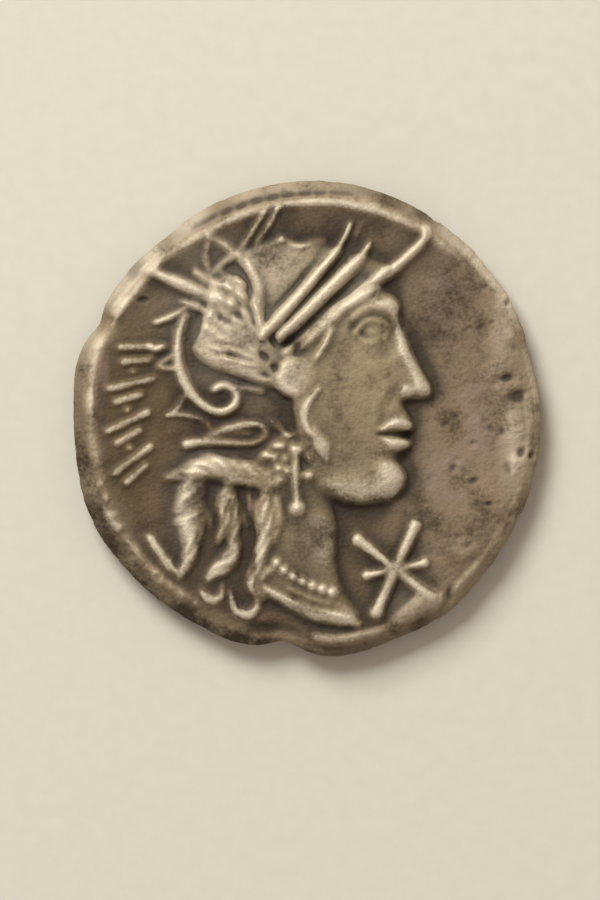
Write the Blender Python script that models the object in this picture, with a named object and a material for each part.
"""A worn silver coin of the denarius kind, lying flat with its head side up.

Metres, +Z up, with the origin under the middle of the coin. Both dies are drawn on a grid of
18.5 squares across the flan, and heights on them are shares of each side's relief.
"""
import math

import bpy
import numpy as np

# Driving dimensions, in metres
FLAN_DIAMETER = 0.0185
FIELD_THICKNESS = 0.00124  # from the field of one face to the field of the other
HEAD_RELIEF = 0.0005  # how far the cheek stands over the field
WREATH_RELIEF = 0.00025  # the back's worn tops carry the coin, this far under its field
HEAD_SIDE_DROP = 0.00034  # how far the struck faces fall at the flan's edge
WREATH_SIDE_DROP = 0.00018
SHOULDER_WIDTH = 0.0009  # how far in from the edge that fall starts
EDGE_BULGE = 0.00022  # how far the edge swells between the faces

# The net that both faces are drawn on, and what it is thinned to
NET_ROWS = 190
EDGE_ROWS = 6
TRIANGLES = 9700

SQUARE = FLAN_DIAMETER / 18.5

# Flan: a round blank whose edge wanders, with a notch and a lip at the bottom
FLAN_RADIUS = 9.17
FLAN_WAVES = (  # bearing and spread in degrees, change of radius
    (88, 26, 0.12),
    (128, 9, -0.10),
    (156, 4, -0.22),
    (166, 12, 0.2),
    (204, 18, 0.26),
    (263, 5.5, -0.44),
    (279, 9, 0.14),
    (306, 8, 0.1),
    (322, 14, -0.07),
    (352, 36, -0.2),
    (15, 10, -0.14),
    (40, 30, -0.06),
)

# Border line: struck round both sides, as far as the wear has left it
BORDER_RADIUS, BORDER_CENTRE, BORDER_HALF_WIDTH, BORDER_HEIGHT = 8.6, (0.06, -0.08), 0.31, 0.42
BORDER_WAVES = ((164, 14, 0.26), (134, 6, 0.10), (114, 14, -0.12), (322, 22, 0.14), (236, 12, -0.14))
BORDER_LEFT = ((150, 40, 1.1), (72, 34, 0.95), (345, 16, 0.3))  # bearing, spread, share left
BORDER_BAND = 0.32  # share of the ridge's height that the band outside it keeps
PEARL_COUNT, PEARL_RADIUS, PEARL_HEIGHT = 88, 0.2, 0.36
PEARLS_LEFT = ((84, 116, 0.3), (194, 240, 0.0))  # from and to in degrees, how far outside the line


def waves_at(bearing, waves):
    """Sum of the waves at each bearing, in degrees."""
    total = np.zeros(np.shape(bearing))
    for centre, spread, height in waves:
        turn = (bearing - centre + 180) % 360 - 180
        total += height * np.exp(-((turn / spread) ** 2))
    return total


def flan_radius(bearing):
    """Radius of the flan at each bearing, in squares."""
    return FLAN_RADIUS + waves_at(bearing, FLAN_WAVES)


def bearing_of(x, y):
    return np.degrees(np.arctan2(y, x))


def polar(radius, bearing, centre=(0.0, 0.0)):
    """The place at a radius and a bearing in degrees from a centre."""
    turn = math.radians(bearing)
    return centre[0] + radius * math.cos(turn), centre[1] + radius * math.sin(turn)


def curve_through(points, closed=False, steps=6):
    """Places along a smooth curve through the points."""
    points = np.array(points, float)
    count = len(points)
    line = []
    for span in range(count if closed else count - 1):
        around = [span - 1, span, span + 1, span + 2]
        if closed:
            around = [place % count for place in around]
        before, start, end, after = points[np.clip(around, 0, count - 1)]
        for share in np.arange(steps) / steps:
            line.append(
                start
                + 0.5 * share * (end - before)
                + share**2 * (before - 2.5 * start + 2 * end - 0.5 * after)
                + 0.5 * share**3 * (after - before + 3 * start - 3 * end)
            )
    line.append(points[0] if closed else points[-1])
    return np.array(line)


def distance_to(x, y, line):
    """Each place's distance to the line, and how far along the line it lies, as a share."""
    nearest = np.full(x.shape, np.inf)
    along = np.zeros(x.shape)
    lengths = np.hypot(*np.diff(line, axis=0).T)
    run = 0.0
    for (start_x, start_y), (end_x, end_y), length in zip(line[:-1], line[1:], lengths):
        if length == 0:
            continue
        step_x, step_y = (end_x - start_x) / length, (end_y - start_y) / length
        reach = np.clip((x - start_x) * step_x + (y - start_y) * step_y, 0, length)
        gap = np.hypot(x - start_x - reach * step_x, y - start_y - reach * step_y)
        along = np.where(gap < nearest, run + reach, along)
        nearest = np.minimum(gap, nearest)
        run += length
    return nearest, along / run


def inside(x, y, outline):
    """Whether each place lies inside the closed outline."""
    crossed = np.zeros(x.shape, bool)
    for (start_x, start_y), (end_x, end_y) in zip(outline[:-1], outline[1:]):
        if start_y != end_y:
            crossing = start_x + (y - start_y) * (end_x - start_x) / (end_y - start_y)
            crossed ^= ((start_y > y) != (end_y > y)) & (x < crossing)
    return crossed


ROUNDNESS = 0.6  # of a stroke's section: 1 is a parabola, 0.5 half an ellipse


class Stroke:
    """A rounded ridge along a smooth line. Its half-widths run from its first point to its last."""

    def __init__(self, points, half_widths, height):
        self.line = curve_through(points)
        self.half_widths = half_widths
        self.height = height
        self.low = self.line.min(axis=0) - max(half_widths)
        self.high = self.line.max(axis=0) + max(half_widths)

    def rise(self, x, y):
        gap, along = distance_to(x, y, self.line)
        stations = np.linspace(0, 1, len(self.half_widths))
        half_width = np.interp(along, stations, self.half_widths)
        fullness = 0.4 + 0.6 * half_width / max(self.half_widths)
        return self.height * fullness * np.clip(1 - (gap / half_width) ** 2, 0, 1) ** ROUNDNESS


class Mound:
    """A round or oval swelling."""

    def __init__(self, centre, radii, height, turn=0.0):
        self.centre = np.array(centre, float)
        self.radii = radii
        self.height = height
        self.turn = math.radians(turn)
        self.low = self.centre - max(radii)
        self.high = self.centre + max(radii)

    def rise(self, x, y):
        right, up = x - self.centre[0], y - self.centre[1]
        along = right * math.cos(self.turn) + up * math.sin(self.turn)
        across = up * math.cos(self.turn) - right * math.sin(self.turn)
        return self.height * np.clip(1 - (along / self.radii[0]) ** 2 - (across / self.radii[1]) ** 2, 0, 1)


class Form:
    """A broad raised shape, which climbs over its shoulder from its outline to its height."""

    def __init__(self, points, shoulder, height):
        self.line = curve_through(points, closed=True)
        self.shoulder = shoulder
        self.height = height
        self.low = self.line.min(axis=0)
        self.high = self.line.max(axis=0)

    def rise(self, x, y):
        gap = distance_to(x, y, self.line)[0]
        climb = np.sqrt(1 - (1 - np.clip(gap / self.shoulder, 0, 1)) ** 2)
        return np.where(inside(x, y, self.line), self.height * climb, 0.0)


def rise_of(shape, x, y):
    """The shape's rise at each place, worked out where the shape reaches."""
    near = (x > shape.low[0]) & (x < shape.high[0]) & (y > shape.low[1]) & (y < shape.high[1])
    rise = np.zeros(x.shape)
    rise[near] = shape.rise(x[near], y[near])
    return rise


def highest(shapes, x, y):
    """The highest of the shapes at each place."""
    top = np.zeros(x.shape)
    for shape in shapes:
        top = np.maximum(top, rise_of(shape, x, y))
    return top


def melted(shapes, x, y, sharpness=8.0):
    """As highest, with the joins between the shapes filled out."""
    total = np.ones(x.shape)
    for shape in shapes:
        total += np.expm1(sharpness * rise_of(shape, x, y))
    return np.log(total) / sharpness


# Head: its broad forms, turned to the right
FACE = Form(
    [
        (2.2, 5.1), (3.05, 5.0), (3.5, 4.45), (3.42, 3.95), (3.95, 2.6), (4.72, 1.15), (4.35, 0.72),
        (3.66, 0.62), (3.98, -0.2), (3.62, -0.62), (3.86, -1.02), (3.46, -1.5), (3.74, -2.3), (3.2, -3.1),
        (1.9, -3.42), (0.4, -3.0), (-0.3, -1.9), (-0.7, -0.3), (-0.8, 2.0), (0.4, 4.0),
    ],
    shoulder=0.85, height=0.92,
)
NECK = Form(
    [
        (-1.9, -1.9), (0.2, -1.7), (0.95, -3.6), (0.98, -5.4), (1.25, -6.6), (1.9, -7.8), (0.4, -7.55),
        (-1.9, -6.6), (-2.2, -4.6),
    ],
    shoulder=0.8, height=0.56,
)
BOWL = Form(
    [
        (-1.9, 3.0), (-2.2, 4.8), (-2.55, 6.3), (-1.2, 6.75), (0.3, 6.85), (1.7, 6.5), (3.1, 5.9), (2.3, 5.0),
        (0.2, 3.2),
    ],
    shoulder=1.0, height=0.6,
)
WING = Form(
    [
        (-3.9, 5.4), (-2.85, 5.5), (-2.3, 5.0), (-1.95, 4.2), (-1.7, 3.5), (-0.8, 3.0), (-0.5, 2.2),
        (-0.9, 1.1), (-1.8, 1.2), (-2.85, 1.6), (-4.0, 2.0), (-4.6, 2.5), (-4.6, 3.0), (-4.3, 3.45),
        (-4.25, 3.95), (-4.05, 4.5),
    ],
    shoulder=0.6, height=0.5,
)
NAPE = Form(
    [
        (-4.9, -2.2), (-4.4, -1.55), (-3.6, -1.4), (-2.6, -1.6), (-2.0, -1.2), (-1.4, -0.65), (-0.5, -0.5),
        (-0.3, -2.2), (-1.4, -2.75), (-3.0, -2.6), (-3.9, -2.5),
    ],
    shoulder=0.4, height=0.44,
)
BOSS_CENTRE, BOSS_RADIUS = (-0.58, 1.62), 0.9
BOSS = Form(
    [polar(BOSS_RADIUS, bearing, BOSS_CENTRE) for bearing in range(0, 360, 45)], shoulder=0.3, height=1.04
)
HEAD_FORMS = (FACE, NECK, BOWL, WING, NAPE, BOSS)

# Face: set out in equal thirds, from the brow to the foot of the nose to the chin
FACE_RISES = (
    Mound((1.7, 1.0), (1.8, 2.0), 0.2),
    Mound((3.0, -2.35), (0.9, 0.8), 0.24),
    Mound((2.1, -2.5), (1.7, 0.7), 0.14),
    Mound((2.42, 3.4), (0.5, 0.32), 0.5),
    Stroke([(1.7, 3.95), (2.3, 4.38), (2.95, 4.42), (3.35, 4.15)], (0.2, 0.28, 0.2), 0.26),
    Stroke([(1.7, 3.3), (2.12, 3.76), (2.62, 3.78), (3.04, 3.48)], (0.12, 0.18, 0.13), 0.46),
    Stroke([(1.8, 3.2), (2.3, 2.98), (2.9, 3.2)], (0.1, 0.16, 0.1), 0.36),
    Stroke([(3.3, 4.0), (3.72, 2.7), (4.4, 1.25)], (0.22, 0.32, 0.38), 0.28),
    Mound((3.72, 1.05), (0.42, 0.34), 0.32, turn=15),
    Stroke([(2.75, -0.4), (3.3, -0.2), (3.8, -0.34)], (0.12, 0.24, 0.22), 0.36),
    Stroke([(2.85, -0.8), (3.3, -0.98), (3.72, -0.92)], (0.12, 0.24, 0.2), 0.32),
)
FACE_HOLLOWS = (
    Mound((2.45, 3.5), (1.1, 0.72), 0.42),
    Mound((3.05, 3.0), (0.5, 0.9), 0.2, turn=-25),
    Stroke([(3.3, 1.2), (2.9, 0.5), (2.7, -0.2)], (0.2, 0.28, 0.16), 0.14),
    Stroke([(2.6, -0.6), (3.2, -0.58), (3.75, -0.62)], (0.09, 0.12, 0.13), 0.28),
    Stroke([(2.9, -1.45), (3.5, -1.5)], (0.22, 0.28), 0.2),
)
NECK_RISES = (
    Mound((0.3, -4.6), (0.9, 1.2), 0.18, turn=20),
    Mound((-0.6, -4.3), (0.9, 1.1), 0.1),
)
CHEEK_STRAP = (
    Stroke(
        [(0.3, 1.15), (-0.12, 0.65), (-0.28, 0.1), (-0.15, -0.4), (0.15, -0.75)],
        (0.15, 0.2, 0.12), 0.36,
    ),
    Stroke([(0.1, -0.5), (0.4, -1.05), (0.64, -1.72)], (0.2, 0.42, 0.12), 0.34),
    Stroke([(0.15, 2.3), (0.5, 2.85), (0.78, 3.45)], (0.12, 0.18, 0.16), 0.4),
)

# Helmet: long feathers and visor, crest, wing of small scales, and the scrolled neck guard
FEATHERS = (
    Stroke(
        [(-1.95, 3.2), (-1.1, 4.1), (-0.4, 4.86), (0.25, 5.64), (0.9, 6.42), (1.29, 7.07), (1.55, 7.62)],
        (0.2, 0.28, 0.28, 0.26, 0.22, 0.16, 0.1), 0.72,
    ),
    Stroke(
        [(-1.2, 3.2), (-0.4, 3.97), (0.38, 4.75), (1.16, 5.52), (1.8, 6.16), (2.3, 6.85)],
        (0.24, 0.34, 0.36, 0.34, 0.28, 0.1), 0.78,
    ),
    Stroke(
        [(-0.95, 2.6), (-0.14, 3.2), (0.64, 3.95), (1.29, 4.45), (1.8, 4.8)],
        (0.24, 0.36, 0.4, 0.26), 0.62,
    ),
)
FEATHER_GROOVES = (
    Stroke([(-1.35, 4.4), (-0.7, 5.1), (0.0, 6.0), (0.5, 6.75)], (0.08, 0.12, 0.1, 0.06), 0.12),
    Stroke([(-1.0, 3.75), (-0.1, 4.7), (0.7, 5.6), (1.4, 6.45)], (0.08, 0.14, 0.14, 0.08), 0.22),
    Stroke([(-0.6, 3.15), (0.2, 3.95), (0.95, 4.7), (1.65, 5.3)], (0.08, 0.14, 0.14, 0.08), 0.3),
)
VISOR = (
    Stroke(
        [(1.2, 4.35), (1.95, 4.85), (2.97, 5.66), (3.88, 6.44), (4.45, 7.1), (4.55, 7.85)],
        (0.3, 0.36, 0.3, 0.2, 0.2, 0.2), 0.74,
    ),
    Stroke([(1.75, 7.15), (2.05, 7.6)], (0.12, 0.08), 0.2),
)
CREST = (
    Stroke(
        [(-2.85, 6.4), (-2.45, 5.85), (-2.15, 5.25), (-2.08, 4.6), (-1.95, 3.5)],
        (0.22, 0.28, 0.3, 0.24, 0.18), 0.55,
    ),
    Stroke(
        [(-2.8, 6.35), (-2.2, 6.55), (-1.56, 6.76), (-1.15, 6.92), (-0.5, 6.76), (0.0, 6.88), (0.5, 6.92)],
        (0.14, 0.18, 0.14), 0.36,
    ),
    Mound((-1.17, 6.95), (0.27, 0.25), 0.55),
    Stroke([(-2.9, 6.35), (-3.4, 6.78), (-4.0, 7.1)], (0.2, 0.17, 0.14), 0.36),
    Stroke([(-2.9, 6.35), (-3.35, 6.1), (-3.8, 5.7)], (0.18, 0.17, 0.14), 0.36),
    Stroke([(-2.65, 6.7), (-2.22, 7.4), (-1.82, 8.0)], (0.15, 0.17, 0.13), 0.36),
    Stroke([(-2.1, 6.85), (-1.7, 7.45), (-1.3, 8.15)], (0.13, 0.16, 0.13), 0.36),
    Stroke([(-4.02, 6.8), (-4.1, 6.2), (-3.9, 5.65)], (0.14, 0.16, 0.12), 0.26),
)
WING_FEATHERS = (
    Stroke([(-6.3, 5.8), (-5.2, 5.3), (-4.15, 4.85), (-3.1, 4.4)], (0.22, 0.3, 0.28, 0.2), 0.6),
    Stroke([(-4.5, 5.7), (-3.9, 5.32), (-3.1, 5.0), (-2.6, 4.7)], (0.16, 0.24, 0.22, 0.16), 0.5),
    Stroke([(-3.7, 5.75), (-3.1, 5.5), (-2.55, 5.2)], (0.16, 0.22, 0.14), 0.4),
    Stroke([(-4.95, 4.55), (-4.3, 4.28), (-3.9, 4.08)], (0.14, 0.2, 0.16), 0.45),
    Stroke([(-4.05, 4.2), (-4.1, 3.75), (-4.3, 3.2)], (0.14, 0.17, 0.1), 0.36),
    Stroke([(-4.55, 2.75), (-3.75, 2.3), (-2.85, 1.95), (-1.75, 1.55)], (0.16, 0.26, 0.3, 0.2), 0.2),
    Stroke([(-2.95, 1.25), (-1.9, 1.08)], (0.12, 0.16), 0.26),
)
WING_ROOT = (-0.78, 1.58)
WING_ROWS = (  # reach from the root, half length, half-width, bearing of the first, step, count
    (1.75, 0.60, 0.125, 124.0, 9.5, 5),
    (2.45, 0.46, 0.155, 119.5, 8.6, 6),
    (3.05, 0.46, 0.175, 117.5, 8.2, 6),
    (3.65, 0.48, 0.185, 121.0, 7.2, 5),
    (4.2, 0.50, 0.185, 117.5, 6.6, 4),
)
SCALE_LEAN, SCALE_HEIGHT = 3.0, 0.32
WING_SLITS = (
    Mound((-1.85, 2.46), (0.34, 0.12), 0.5, turn=-36),
    Mound((-1.4, 1.97), (0.28, 0.12), 0.5, turn=-30),
    Mound((-1.8, 1.7), (0.3, 0.11), 0.45, turn=-25),
    Mound((-1.46, 3.0), (0.26, 0.14), 0.4, turn=-45),
    Mound((-0.9, 3.02), (0.42, 0.13), 0.5, turn=42),
    Mound((-3.1, 2.46), (0.3, 0.1), 0.3, turn=-30),
    Mound((-3.5, 5.06), (0.75, 0.1), 0.35, turn=-27),
    Mound((-2.8, 4.0), (0.24, 0.1), 0.25, turn=-20),
    Mound((-3.57, 3.87), (0.13, 0.13), 0.25),
)
NECK_GUARD = (
    Stroke(
        [
            (-4.9, 4.0), (-5.15, 3.3), (-5.18, 2.4), (-4.98, 1.55), (-4.55, 0.85), (-3.95, 0.38), (-3.4, 0.3),
            (-2.95, 0.6), (-2.95, 1.05), (-3.4, 1.3), (-3.75, 1.15),
        ],
        (0.16, 0.23, 0.24, 0.23, 0.21, 0.18), 0.56,
    ),
    Stroke([(-6.05, 3.75), (-5.5, 3.95), (-4.95, 4.25)], (0.16, 0.18, 0.12), 0.4),
    Stroke([(-5.35, 2.5), (-5.9, 2.05), (-5.2, 1.92)], (0.12, 0.16, 0.12), 0.34),
    Stroke([(-6.3, 2.95), (-6.1, 2.62), (-5.8, 2.85)], (0.1, 0.14, 0.1), 0.28),
    Stroke([(-4.9, 0.95), (-5.2, 0.4), (-5.55, 0.15)], (0.12, 0.15, 0.12), 0.32),
    Stroke([(-5.6, 0.13), (-4.9, 0.15), (-4.2, -0.05), (-3.9, -0.4)], (0.13, 0.15, 0.12), 0.32),
)


def wing_scales():
    """Rows of small scales that fan out from the wing's root."""
    scales = []
    for reach, half_length, half_width, first, step, count in WING_ROWS:
        for place in range(count):
            bearing = first + step * place
            centre = polar(reach, bearing, WING_ROOT)
            scales.append(Mound(centre, (half_length, half_width), SCALE_HEIGHT, turn=bearing + SCALE_LEAN))
    return scales


# Hair: rolls over the nape, and three locks that end in curls
HAIR = (
    Stroke(
        [(-5.6, -2.3), (-5.1, -2.15), (-4.6, -1.98), (-4.02, -1.76), (-3.37, -1.9), (-2.99, -2.25)],
        (0.18, 0.32, 0.52, 0.56, 0.52, 0.34), 0.58,
    ),
    Stroke(
        [(-3.0, -1.6), (-2.6, -1.9), (-2.2, -2.1), (-1.7, -2.15)],
        (0.28, 0.42, 0.38, 0.24), 0.5,
    ),
    Stroke([(-2.9, -2.35), (-2.2, -2.55), (-1.4, -2.5)], (0.2, 0.3, 0.22), 0.34),
)
RIBBON = (
    Stroke(
        [(-4.1, -0.75), (-3.3, -0.4), (-2.4, -0.2), (-1.85, -0.3), (-1.75, -0.65)],
        (0.16, 0.24, 0.2, 0.16), 0.4,
    ),
    Stroke(
        [(-4.85, -1.0), (-4.3, -0.92), (-3.4, -0.92), (-2.3, -0.95), (-1.8, -0.7)],
        (0.24, 0.24, 0.16, 0.16), 0.42,
    ),
    Stroke([(-3.4, -0.62), (-2.9, -0.55), (-2.4, -0.58)], (0.1, 0.16, 0.1), 0.2),
    Stroke([(-1.6, -0.05), (-1.2, -0.35), (-0.9, -0.7)], (0.15, 0.18, 0.14), 0.3),
)
LOCKS = (
    Stroke([(-4.65, -2.35), (-4.87, -3.0), (-5.15, -3.6)], (0.38, 0.43, 0.2), 0.62),
    Stroke([(-4.25, -3.3), (-4.7, -3.8), (-5.1, -4.0)], (0.18, 0.33, 0.25), 0.5),
    Stroke([(-4.3, -2.5), (-4.42, -3.05), (-4.6, -3.5)], (0.25, 0.28, 0.15), 0.42),
    Stroke([(-4.85, -4.0), (-4.68, -4.85), (-4.8, -5.5), (-5.1, -6.1)], (0.35, 0.4, 0.33, 0.2), 0.6),
    Stroke([(-4.35, -3.95), (-4.35, -4.5), (-4.5, -5.05)], (0.25, 0.22, 0.12), 0.36),
    Stroke([(-6.3, -4.6), (-5.85, -5.25), (-5.45, -5.78), (-5.05, -6.0)], (0.2, 0.25, 0.25, 0.2), 0.5),
    Stroke([(-3.18, -2.6), (-3.44, -3.3), (-3.3, -3.95), (-3.6, -4.75)], (0.28, 0.38, 0.33, 0.18), 0.56),
    Stroke([(-3.05, -3.0), (-2.95, -3.9), (-3.05, -4.7), (-3.0, -5.2)], (0.2, 0.28, 0.28, 0.3), 0.5),
    Stroke([(-2.95, -4.9), (-3.2, -5.45), (-3.6, -5.85), (-4.0, -6.2)], (0.3, 0.43, 0.4, 0.22), 0.58),
    Stroke([(-4.2, -3.4), (-4.0, -3.75), (-3.9, -4.2)], (0.15, 0.19, 0.12), 0.24),
    Stroke([(-1.75, -2.8), (-1.85, -3.45), (-1.75, -4.15), (-1.85, -4.9)], (0.25, 0.43, 0.45, 0.33), 0.56),
    Stroke([(-2.4, -3.0), (-2.25, -3.5), (-2.1, -4.0), (-2.0, -4.5)], (0.22, 0.3, 0.25, 0.18), 0.5),
    Stroke([(-1.35, -3.15), (-1.3, -3.9), (-1.45, -4.7)], (0.19, 0.25, 0.18), 0.36),
    Stroke([(-2.8, -3.3), (-2.65, -3.8), (-2.45, -4.2)], (0.15, 0.2, 0.12), 0.24),
    Stroke(
        [(-1.88, -4.7), (-2.05, -5.35), (-2.25, -6.0), (-2.25, -6.5), (-1.85, -6.92)],
        (0.35, 0.35, 0.3, 0.35, 0.22), 0.56,
    ),
    Stroke([(-1.95, -6.25), (-1.75, -5.95), (-1.4, -5.85)], (0.19, 0.19, 0.12), 0.34),
    Stroke([(-4.25, -6.75), (-3.92, -7.05), (-3.52, -6.93), (-3.45, -6.5)], (0.19, 0.25, 0.21, 0.12), 0.42),
    Stroke(
        [(-3.12, -6.8), (-2.98, -7.4), (-2.5, -7.62), (-2.1, -7.35), (-2.1, -7.0)],
        (0.16, 0.22, 0.26, 0.21, 0.16), 0.46,
    ),
)

# Curls over the ear, ear drop, necklace and the cut edge of the bust
EAR_CURLS = (
    Mound((-1.24, -1.06), (0.32, 0.2), 0.42),
    Mound((-1.75, -1.42), (0.26, 0.2), 0.36, turn=-40),
    Mound((-1.42, -1.5), (0.22, 0.18), 0.42),
    Mound((-1.0, -1.55), (0.24, 0.2), 0.4),
    Mound((-1.26, -1.92), (0.26, 0.2), 0.46),
    Mound((-0.92, -2.02), (0.24, 0.22), 0.44),
    Mound((-1.2, -2.36), (0.28, 0.18), 0.36),
    Mound((-0.93, -0.6), (0.34, 0.14), 0.34, turn=-20),
    Mound((-0.14, -1.5), (0.22, 0.2), 0.34),
    Mound((-0.12, -2.2), (0.3, 0.27), 0.52),
)
EAR_DROP = (
    Stroke([(-0.57, -1.2), (-0.6, -2.2), (-0.56, -3.3)], (0.2, 0.2, 0.16), 0.46),
    Mound((-0.58, -1.22), (0.36, 0.34), 0.62),
    Mound((-0.54, -3.48), (0.37, 0.37), 0.72),
)
NECKLACE_LINE = ((-1.35, -5.6), (-0.8, -6.08), (0.0, -6.48), (0.85, -6.75))
BEAD_COUNT, BEAD_RADIUS, BEAD_HEIGHT = 7, 0.25, 0.5
BUST_EDGE = (
    Stroke(
        [(-1.85, -6.65), (-1.3, -6.95), (-0.5, -7.35), (0.3, -7.65), (1.0, -7.78), (1.9, -8.0)],
        (0.22, 0.24, 0.28, 0.34, 0.32, 0.14), 0.62,
    ),
    Stroke([(-0.9, -6.62), (-0.2, -6.95), (0.7, -7.22)], (0.1, 0.16, 0.1), 0.22),
)


def necklace():
    """Beads spaced evenly along the necklace's line."""
    line = curve_through(NECKLACE_LINE)
    run = np.concatenate([[0], np.cumsum(np.hypot(*np.diff(line, axis=0).T))])
    beads = []
    for place in np.linspace(0, run[-1], BEAD_COUNT):
        centre = (np.interp(place, run, line[:, 0]), np.interp(place, run, line[:, 1]))
        beads.append(Mound(centre, (BEAD_RADIUS, BEAD_RADIUS), BEAD_HEIGHT))
    return beads


# Star under the chin: crossed strokes with a knob at each end
STAR_CENTRE, STAR_HEIGHT = (3.28, -5.85), 0.56
STAR_ARMS = ((66, 1.85, 0.27), (142, 1.85, 0.24), (12, 1.15, 0.18))  # bearing, half length, half-width


def star():
    """The strokes of the star and their knobs."""
    shapes = []
    for bearing, half_length, half_width in STAR_ARMS:
        ends = [polar(half_length, bearing + side, STAR_CENTRE) for side in (0, 180)]
        shapes.append(Stroke([ends[0], STAR_CENTRE, ends[1]], (half_width,), STAR_HEIGHT))
        shapes += [Mound(end, (1.4 * half_width, 1.4 * half_width), STAR_HEIGHT) for end in ends]
    return shapes


# Shallow strokes behind the head: all lean one way, a long and a short one by turns, with dots between
ROW_PLACES = (157.0, 161.5, 169.0, 173.5, 181.0, 185.5, 193.0, 197.5)  # bearings in degrees
ROW_RADIUS, ROW_LEAN, ROW_LENGTHS = 7.15, 24.0, (0.85, 0.5)
ROW_HALF_WIDTH, ROW_HEIGHT = 0.2, 0.32
ROW_DOTS, ROW_DOT = (165.2, 177.2, 189.2), 0.2


def stroke_row():
    """The separate strokes and dots."""
    shapes = []
    for number, bearing in enumerate(ROW_PLACES):
        centre = polar(ROW_RADIUS, bearing)
        half_length = ROW_LENGTHS[number % 2]
        ends = [polar(half_length, bearing + ROW_LEAN + side, centre) for side in (0, 180)]
        shapes.append(Stroke([ends[0], centre, ends[1]], (ROW_HALF_WIDTH,), ROW_HEIGHT))
    for bearing in ROW_DOTS:
        shapes.append(Mound(polar(ROW_RADIUS, bearing), (ROW_DOT, ROW_DOT), ROW_HEIGHT))
    return shapes


# Wear: the lip beside the hollow at the foot, a worn patch by the star, and what is left of the rim
RIM_LEFT = (
    Stroke(
        [(0.2, -8.5), (1.0, -8.62), (1.9, -8.5), (2.84, -8.25), (3.9, -7.85), (4.8, -7.4), (5.05, -6.9)],
        (0.2, 0.28, 0.24, 0.22, 0.2, 0.16), 0.55,
    ),
    Form(
        [(3.0, -7.9), (3.7, -7.2), (4.4, -6.5), (5.1, -6.9), (5.0, -7.5), (4.0, -7.95)],
        shoulder=0.4, height=0.36,
    ),
    Stroke([(8.4, 0.9), (8.62, 0.2), (8.68, -0.8), (8.55, -2.4)], (0.12, 0.24, 0.26, 0.14), 0.6),
    Stroke([(8.2, -2.7), (7.95, -3.5), (7.6, -4.2)], (0.12, 0.2, 0.14), 0.45),
    Stroke([(7.45, -4.2), (7.1, -5.05), (6.35, -5.95), (5.5, -6.75)], (0.14, 0.22, 0.24, 0.16), 0.6),
    Stroke([(8.1, -4.3), (7.6, -5.3), (6.85, -6.25), (6.1, -6.95)], (0.12, 0.16, 0.16, 0.1), 0.4),
    Stroke([(-8.3, -3.25), (-7.8, -3.95), (-7.5, -4.35)], (0.2, 0.24, 0.14), 0.4),
    Stroke(
        [(-7.15, -4.7), (-6.6, -5.45), (-6.1, -6.0), (-5.3, -6.66), (-4.65, -7.05)],
        (0.12, 0.22, 0.12, 0.24, 0.12, 0.2, 0.1), 0.34,
    ),
    Stroke([(-5.3, -7.2), (-4.1, -7.9), (-2.7, -8.4)], (0.1, 0.18, 0.1), 0.26),
    Mound((-8.5, -2.75), (0.26, 0.36), 0.4),
    Mound((8.05, -1.7), (0.55, 0.4), 0.26, turn=60),
    Mound((7.9, -0.3), (0.6, 0.4), 0.2, turn=100),
    Mound((7.1, 1.9), (0.8, 0.45), 0.16, turn=30),
    Mound((5.7, -5.1), (1.2, 0.55), 0.16, turn=15),
)
RIM_LUMPS = (
    Mound((-6.2, 6.2), (0.7, 0.42), 0.4, turn=45),
    Mound((-7.5, 4.4), (0.6, 0.34), 0.34, turn=58),
    Mound((-5.5, 7.1), (0.5, 0.28), 0.34, turn=38),
    Mound((-4.3, 7.95), (0.6, 0.22), 0.3, turn=28),
    Mound((-8.4, 3.0), (0.5, 0.3), 0.36, turn=68),
    Mound((-8.65, 0.6), (0.7, 0.28), 0.24, turn=88),
    Mound((-2.6, 8.8), (0.7, 0.16), 0.26, turn=16),
    Mound((2.45, 8.45), (0.5, 0.22), 0.3, turn=-15),
    Mound((4.35, 7.55), (0.55, 0.25), 0.26, turn=-32),
    Mound((7.85, 3.3), (0.6, 0.32), 0.3, turn=110),
    Mound((8.45, 1.9), (0.4, 0.26), 0.24, turn=100),
)
RIM_GROOVES = (
    Mound((-1.4, -8.3), (1.25, 0.45), 0.5, turn=-8),
    Stroke([(0.1, -8.84), (0.9, -8.92), (1.8, -8.84)], (0.06, 0.11, 0.06), 0.35),
    Stroke([(7.85, -4.2), (7.35, -5.15), (6.6, -6.1), (5.8, -6.9)], (0.08, 0.12, 0.12, 0.08), 0.4),
    Stroke(
        [(-4.6, 7.45), (-3.76, 7.9), (-2.5, 8.4), (-1.3, 8.68), (0.4, 8.8), (1.6, 8.74)],
        (0.1, 0.16, 0.15, 0.08), 0.55,
    ),
    Mound((-8.1, 3.95), (0.4, 0.22), 0.5, turn=60),
    Mound((3.2, 8.4), (0.4, 0.2), 0.5, turn=-20),
    Mound((-6.95, 5.7), (0.4, 0.16), 0.4, turn=50),
)


def pearls():
    """Border pearls, where the wear has left them."""
    shapes = []
    for pearl in range(PEARL_COUNT):
        bearing = 360 * pearl / PEARL_COUNT
        for start, end, outside in PEARLS_LEFT:
            if start <= bearing <= end:
                radius = BORDER_RADIUS + waves_at(bearing, BORDER_WAVES) + outside
                centre = polar(radius, bearing, BORDER_CENTRE)
                shapes.append(Mound(centre, (PEARL_RADIUS, PEARL_RADIUS), PEARL_HEIGHT))
    return shapes


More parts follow.
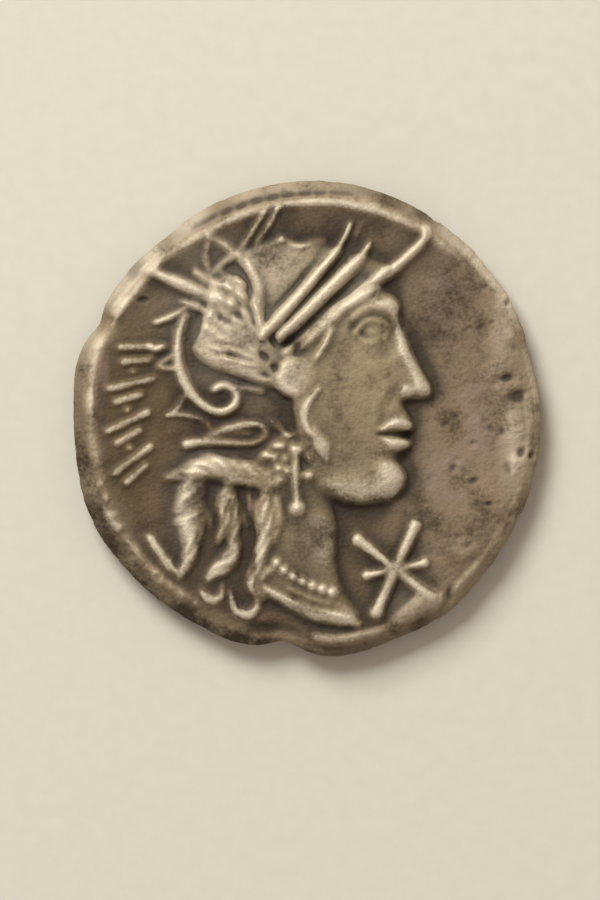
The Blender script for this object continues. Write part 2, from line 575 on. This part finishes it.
def border_line(x, y):
    """Rise of the border, a ridge with a band outside it, strong where it is left and gone elsewhere."""
    right, up = x - BORDER_CENTRE[0], y - BORDER_CENTRE[1]
    bearing = bearing_of(right, up)
    off_line = np.hypot(right, up) - BORDER_RADIUS - waves_at(bearing, BORDER_WAVES)
    left = np.clip(waves_at(bearing, BORDER_LEFT), 0, 1)
    ridge = np.clip(1 - (off_line / BORDER_HALF_WIDTH) ** 2, 0, 1)
    return BORDER_HEIGHT * left * np.maximum(ridge, BORDER_BAND * (off_line > 0))


def head_side(x, y):
    """Rise of the head side over its field, as a share of its relief."""
    head = melted(HEAD_FORMS, x, y) + highest(FACE_RISES + NECK_RISES, x, y)
    head -= highest(FACE_HOLLOWS + FEATHER_GROOVES + WING_SLITS, x, y)
    helmet = highest(FEATHERS + VISOR + CREST + WING_FEATHERS + NECK_GUARD, x, y)
    helmet += highest(wing_scales(), x, y)
    hair = highest(HAIR + RIBBON + LOCKS + CHEEK_STRAP, x, y)
    jewels = highest(EAR_CURLS + EAR_DROP + tuple(necklace()) + BUST_EDGE, x, y)
    signs = highest(star() + stroke_row() + pearls(), x, y)
    rim = np.maximum(highest(RIM_LEFT, x, y), border_line(x, y)) + highest(RIM_LUMPS, x, y)
    struck = head + np.maximum(helmet, np.maximum(hair, jewels)) + np.maximum(signs, rim)
    return struck - highest(RIM_GROOVES, x, y)


# Back: a wreath tied at its foot round a plain shield, worn flat on top
WREATH_RADIUS, LEAF_PAIRS, WREATH_GAP = 5.9, 9, 14.0  # the gap is in degrees, each side of the top
LEAF_LENGTH, LEAF_WIDTH, LEAF_LEAN, LEAF_SPREAD = 0.95, 0.36, 24.0, 0.5
SHIELD_RADIUS, SHIELD_RIM, SHIELD_CORE = 2.9, 0.2, 2.2
BACK_BORDER_RADIUS = 8.25


def ring(radius):
    """A closed outline round the middle of the die."""
    return [polar(radius, bearing) for bearing in range(0, 360, 30)]


def wreath():
    """Two branches with leaves in pairs, a berry between the pairs, and the tie."""
    shapes = []
    step = (180 - 2 * WREATH_GAP) / (LEAF_PAIRS - 0.5)
    for side in (-1, 1):
        stem = [polar(WREATH_RADIUS, 270 + side * turn) for turn in np.linspace(4, 180 - WREATH_GAP, 10)]
        shapes.append(Stroke(stem, (0.16, 0.12), 0.7))
        for pair in range(LEAF_PAIRS):
            bearing = 270 + side * (WREATH_GAP + step * pair)
            for branch in (-1, 1):
                centre = polar(WREATH_RADIUS + branch * LEAF_SPREAD, bearing)
                turn = bearing + side * (90 - branch * LEAF_LEAN)
                shapes.append(Mound(centre, (LEAF_LENGTH, LEAF_WIDTH), 1.5, turn))
            shapes.append(Mound(polar(WREATH_RADIUS + 1.25, bearing + side * step / 2), (0.2, 0.2), 1.1))
        tie = [polar(WREATH_RADIUS, 270), (side * 0.9, -6.6), (side * 1.3, -7.4)]
        shapes.append(Stroke(tie, (0.22, 0.14), 1.1))
    shapes.append(Mound(polar(WREATH_RADIUS, 270), (0.45, 0.38), 1.5))
    return shapes


def wreath_side(x, y):
    """Rise of the back over its field, worn down to flat tops at the full relief."""
    shield = Form(ring(SHIELD_CORE), shoulder=0.3, height=1.3)
    rim = Stroke(ring(SHIELD_RADIUS) + ring(SHIELD_RADIUS)[:1], (SHIELD_RIM,), 1.1)
    border = Stroke(ring(BACK_BORDER_RADIUS) + ring(BACK_BORDER_RADIUS)[:1], (0.24,), 1.3)
    return np.minimum(highest([shield, rim, border] + wreath(), x, y), 1.0)


def disc_net():
    """Places of a square net that is drawn out into a disc of radius 1, row by row."""
    side = np.linspace(-1, 1, NET_ROWS + 1)
    right, up = np.meshgrid(side, side)
    wide = np.abs(right) > np.abs(up)
    reach = np.where(wide, right, up)
    across = np.where(wide, up, right)
    lean = math.pi / 4 * np.divide(across, reach, out=np.zeros_like(reach), where=reach != 0)
    x = reach * np.where(wide, np.cos(lean), np.sin(lean))
    y = reach * np.where(wide, np.sin(lean), np.cos(lean))
    return x.ravel(), y.ravel()


def net_edge():
    """Numbers of the net's outermost places, anticlockwise."""
    number = np.arange((NET_ROWS + 1) ** 2).reshape(NET_ROWS + 1, NET_ROWS + 1)
    return np.concatenate([number[0, :-1], number[:-1, -1], number[-1, :0:-1], number[:0:-1, 0]])


def net_faces():
    """Corners of the net's meshes, anticlockwise."""
    number = np.arange((NET_ROWS + 1) ** 2).reshape(NET_ROWS + 1, NET_ROWS + 1)
    corners = number[:-1, :-1], number[:-1, 1:], number[1:, 1:], number[1:, :-1]
    return np.stack([corner.ravel() for corner in corners], axis=1)


def shoulder_fall(x, y):
    """How much of the fall to the edge has happened at each place, from 0 to 1."""
    to_edge = (flan_radius(bearing_of(x, y)) - np.hypot(x, y)) * SQUARE - EDGE_BULGE
    return np.clip(1 - to_edge / SHOULDER_WIDTH, 0, 1) ** 2


def coin_net():
    """Places and faces of the whole coin: head side, rounded edge and back."""
    unit_x, unit_y = disc_net()
    reach = flan_radius(bearing_of(unit_x, unit_y)) - EDGE_BULGE / SQUARE
    x, y = unit_x * reach, unit_y * reach
    fall = shoulder_fall(x, y)
    field = WREATH_RELIEF + FIELD_THICKNESS
    top = field + HEAD_RELIEF * head_side(x, y) * (1 - fall) - HEAD_SIDE_DROP * fall
    bottom = WREATH_RELIEF - WREATH_RELIEF * wreath_side(x, y) * (1 - fall) + WREATH_SIDE_DROP * fall
    head_places = np.stack([x * SQUARE, y * SQUARE, top], axis=1)
    back_places = np.stack([x * SQUARE, y * SQUARE, bottom], axis=1)

    edge = net_edge()
    upper, lower = head_places[edge], back_places[edge]
    outward = np.stack([unit_x[edge], unit_y[edge], np.zeros(len(edge))], axis=1)
    rings = []
    for row in range(1, EDGE_ROWS):
        turn = math.pi * row / EDGE_ROWS
        middle = 0.5 * (upper + lower) + 0.5 * math.cos(turn) * (upper - lower)
        rings.append(middle + EDGE_BULGE * math.sin(turn) * outward)
    places = np.concatenate([head_places, back_places] + rings)

    net_size = len(head_places)
    loops = [edge]
    loops += [2 * net_size + row * len(edge) + np.arange(len(edge)) for row in range(EDGE_ROWS - 1)]
    loops.append(net_size + edge)
    faces = [net_faces(), net_faces()[:, ::-1] + net_size]
    for above, below in zip(loops[:-1], loops[1:]):
        faces.append(np.stack([below, np.roll(below, -1), np.roll(above, -1), above], axis=1))
    return places, np.concatenate(faces)


def worn_silver():
    """Grey silver with a warm, dark patina."""
    silver = bpy.data.materials.new("worn_silver")
    silver.use_nodes = True
    shader = silver.node_tree.nodes["Principled BSDF"]
    shader.inputs["Base Color"].default_value = (0.36, 0.31, 0.235, 1.0)
    shader.inputs["Metallic"].default_value = 0.85
    shader.inputs["Roughness"].default_value = 0.45
    return silver


def make_coin():
    """The coin as one closed solid, with its box centred over the origin."""
    places, faces = coin_net()
    middle = 0.5 * (places.min(axis=0) + places.max(axis=0))
    places -= (middle[0], middle[1], 0.0)
    net = bpy.data.meshes.new("fine_net")
    net.from_pydata(places.tolist(), [], faces.tolist())
    fine = bpy.data.objects.new("fine_net", net)
    bpy.context.collection.objects.link(fine)
    thinning = fine.modifiers.new("Thin the net", "DECIMATE")
    thinning.ratio = TRIANGLES / (2 * len(faces))
    mesh = bpy.data.meshes.new_from_object(fine.evaluated_get(bpy.context.evaluated_depsgraph_get()))
    bpy.data.objects.remove(fine)

    heights = np.array([vertex.co.z for vertex in mesh.vertices])
    for vertex in np.flatnonzero(heights < 0.06 * WREATH_RELIEF):
        mesh.vertices[vertex].co.z = 0.0
    mesh.name = "coin"
    mesh.shade_smooth()
    mesh.materials.append(worn_silver())
    bpy.context.collection.objects.link(bpy.data.objects.new("coin", mesh))


def main():
    for thing in list(bpy.data.objects):
        bpy.data.objects.remove(thing)
    make_coin()


main()
